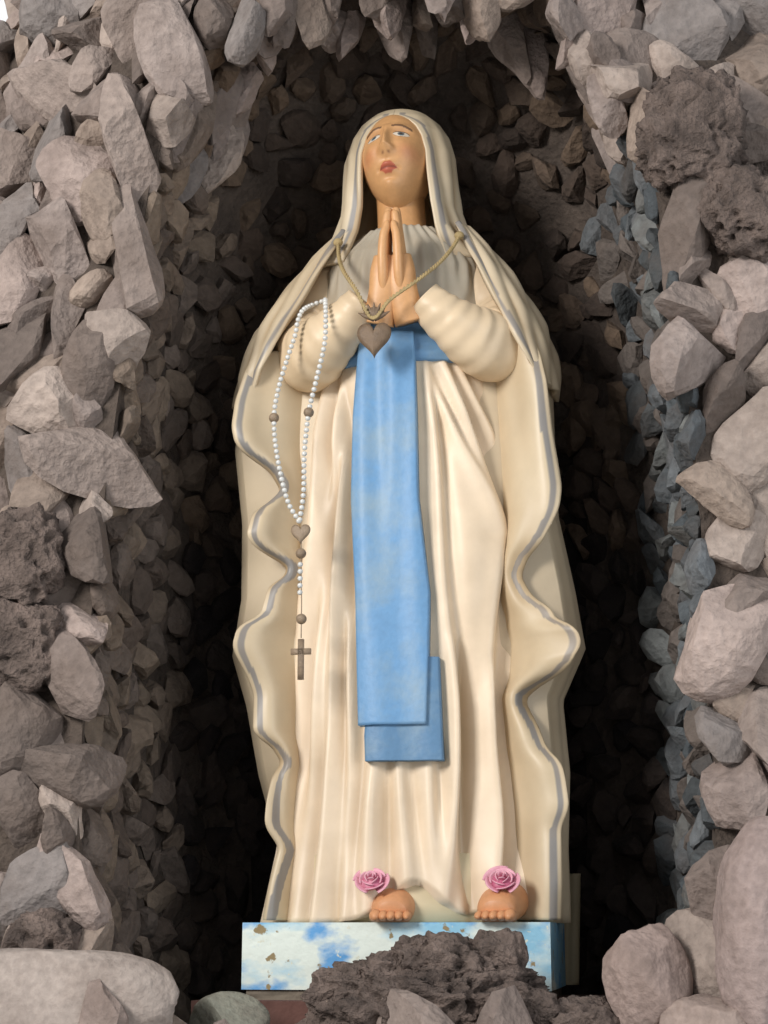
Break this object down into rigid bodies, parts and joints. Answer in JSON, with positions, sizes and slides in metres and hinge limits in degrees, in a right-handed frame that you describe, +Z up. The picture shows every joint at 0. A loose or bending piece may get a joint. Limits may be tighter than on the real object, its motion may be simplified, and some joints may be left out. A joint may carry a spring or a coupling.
{
  "type": "lourdes grotto",
  "caption": "Free-standing rockwork grotto with a raised arched niche holding a painted statue of a veiled woman at prayer on a sky-blue plinth",
  "frame": {"origin": "centre of the footing underside, on the ground", "axes": "+Z up, -Y out of the open front of the niche, +X to the right of someone facing it"},
  "size_m": [2.5, 1.56, 4.071],
  "materials": {
    "rockwork": "rough",
    "dark_rock": "rough",
    "porous_rock": "rough",
    "field_stone": "rough",
    "red_slab": "rough",
    "grey_board": "matte",
    "sky_paint": "painted matte",
    "skin_paint": "painted satin",
    "cream_paint": "painted satin",
    "grey_paint": "painted satin",
    "mantle_paint": "painted satin",
    "blue_paint": "painted satin",
    "rose_paint": "painted satin",
    "pearl_bead": "gloss",
    "old_metal": "dull",
    "gold_cord": "matte"
  },
  "bodies": {
    "root": {"footing_course": "rockwork", "base_left": "rockwork", "base_centre": "rockwork", "base_right": "rockwork", "sill_course": "rockwork", "left_jamb_lower": "rockwork", "left_jamb_upper": "rockwork", "right_jamb_lower": "rockwork", "right_jamb_upper": "rockwork", "back_wall_lower": "dark_rock", "back_wall_upper": "dark_rock", "arch_left": "rockwork", "arch_right": "rockwork", "arch_back": "dark_rock", "crown_course": "rockwork", "crown_peak": "rockwork", "porous_block": "porous_rock", "left_boulder": "field_stone", "right_boulder": "field_stone", "sill_cobble": "field_stone", "seat_slab": "red_slab", "bedding_board": "grey_board", "plinth": "sky_paint", "gown_skirt": "cream_paint", "gown_bodice": "grey_paint", "head": "skin_paint", "neck": "skin_paint", "veil": "mantle_paint", "mantle": "mantle_paint", "mantle_train": "mantle_paint", "left_sleeve": "cream_paint", "right_sleeve": "cream_paint", "left_hand": "skin_paint", "right_hand": "skin_paint", "sash_band": "blue_paint", "sash_front_tail": "blue_paint", "sash_back_tail": "blue_paint", "left_foot": "skin_paint", "right_foot": "skin_paint", "left_rose": "rose_paint", "right_rose": "rose_paint", "bead_loop": "pearl_bead", "bead_pendant": "old_metal", "votive_heart": "old_metal", "votive_cord": "gold_cord"}
  },
  "joints": []
}
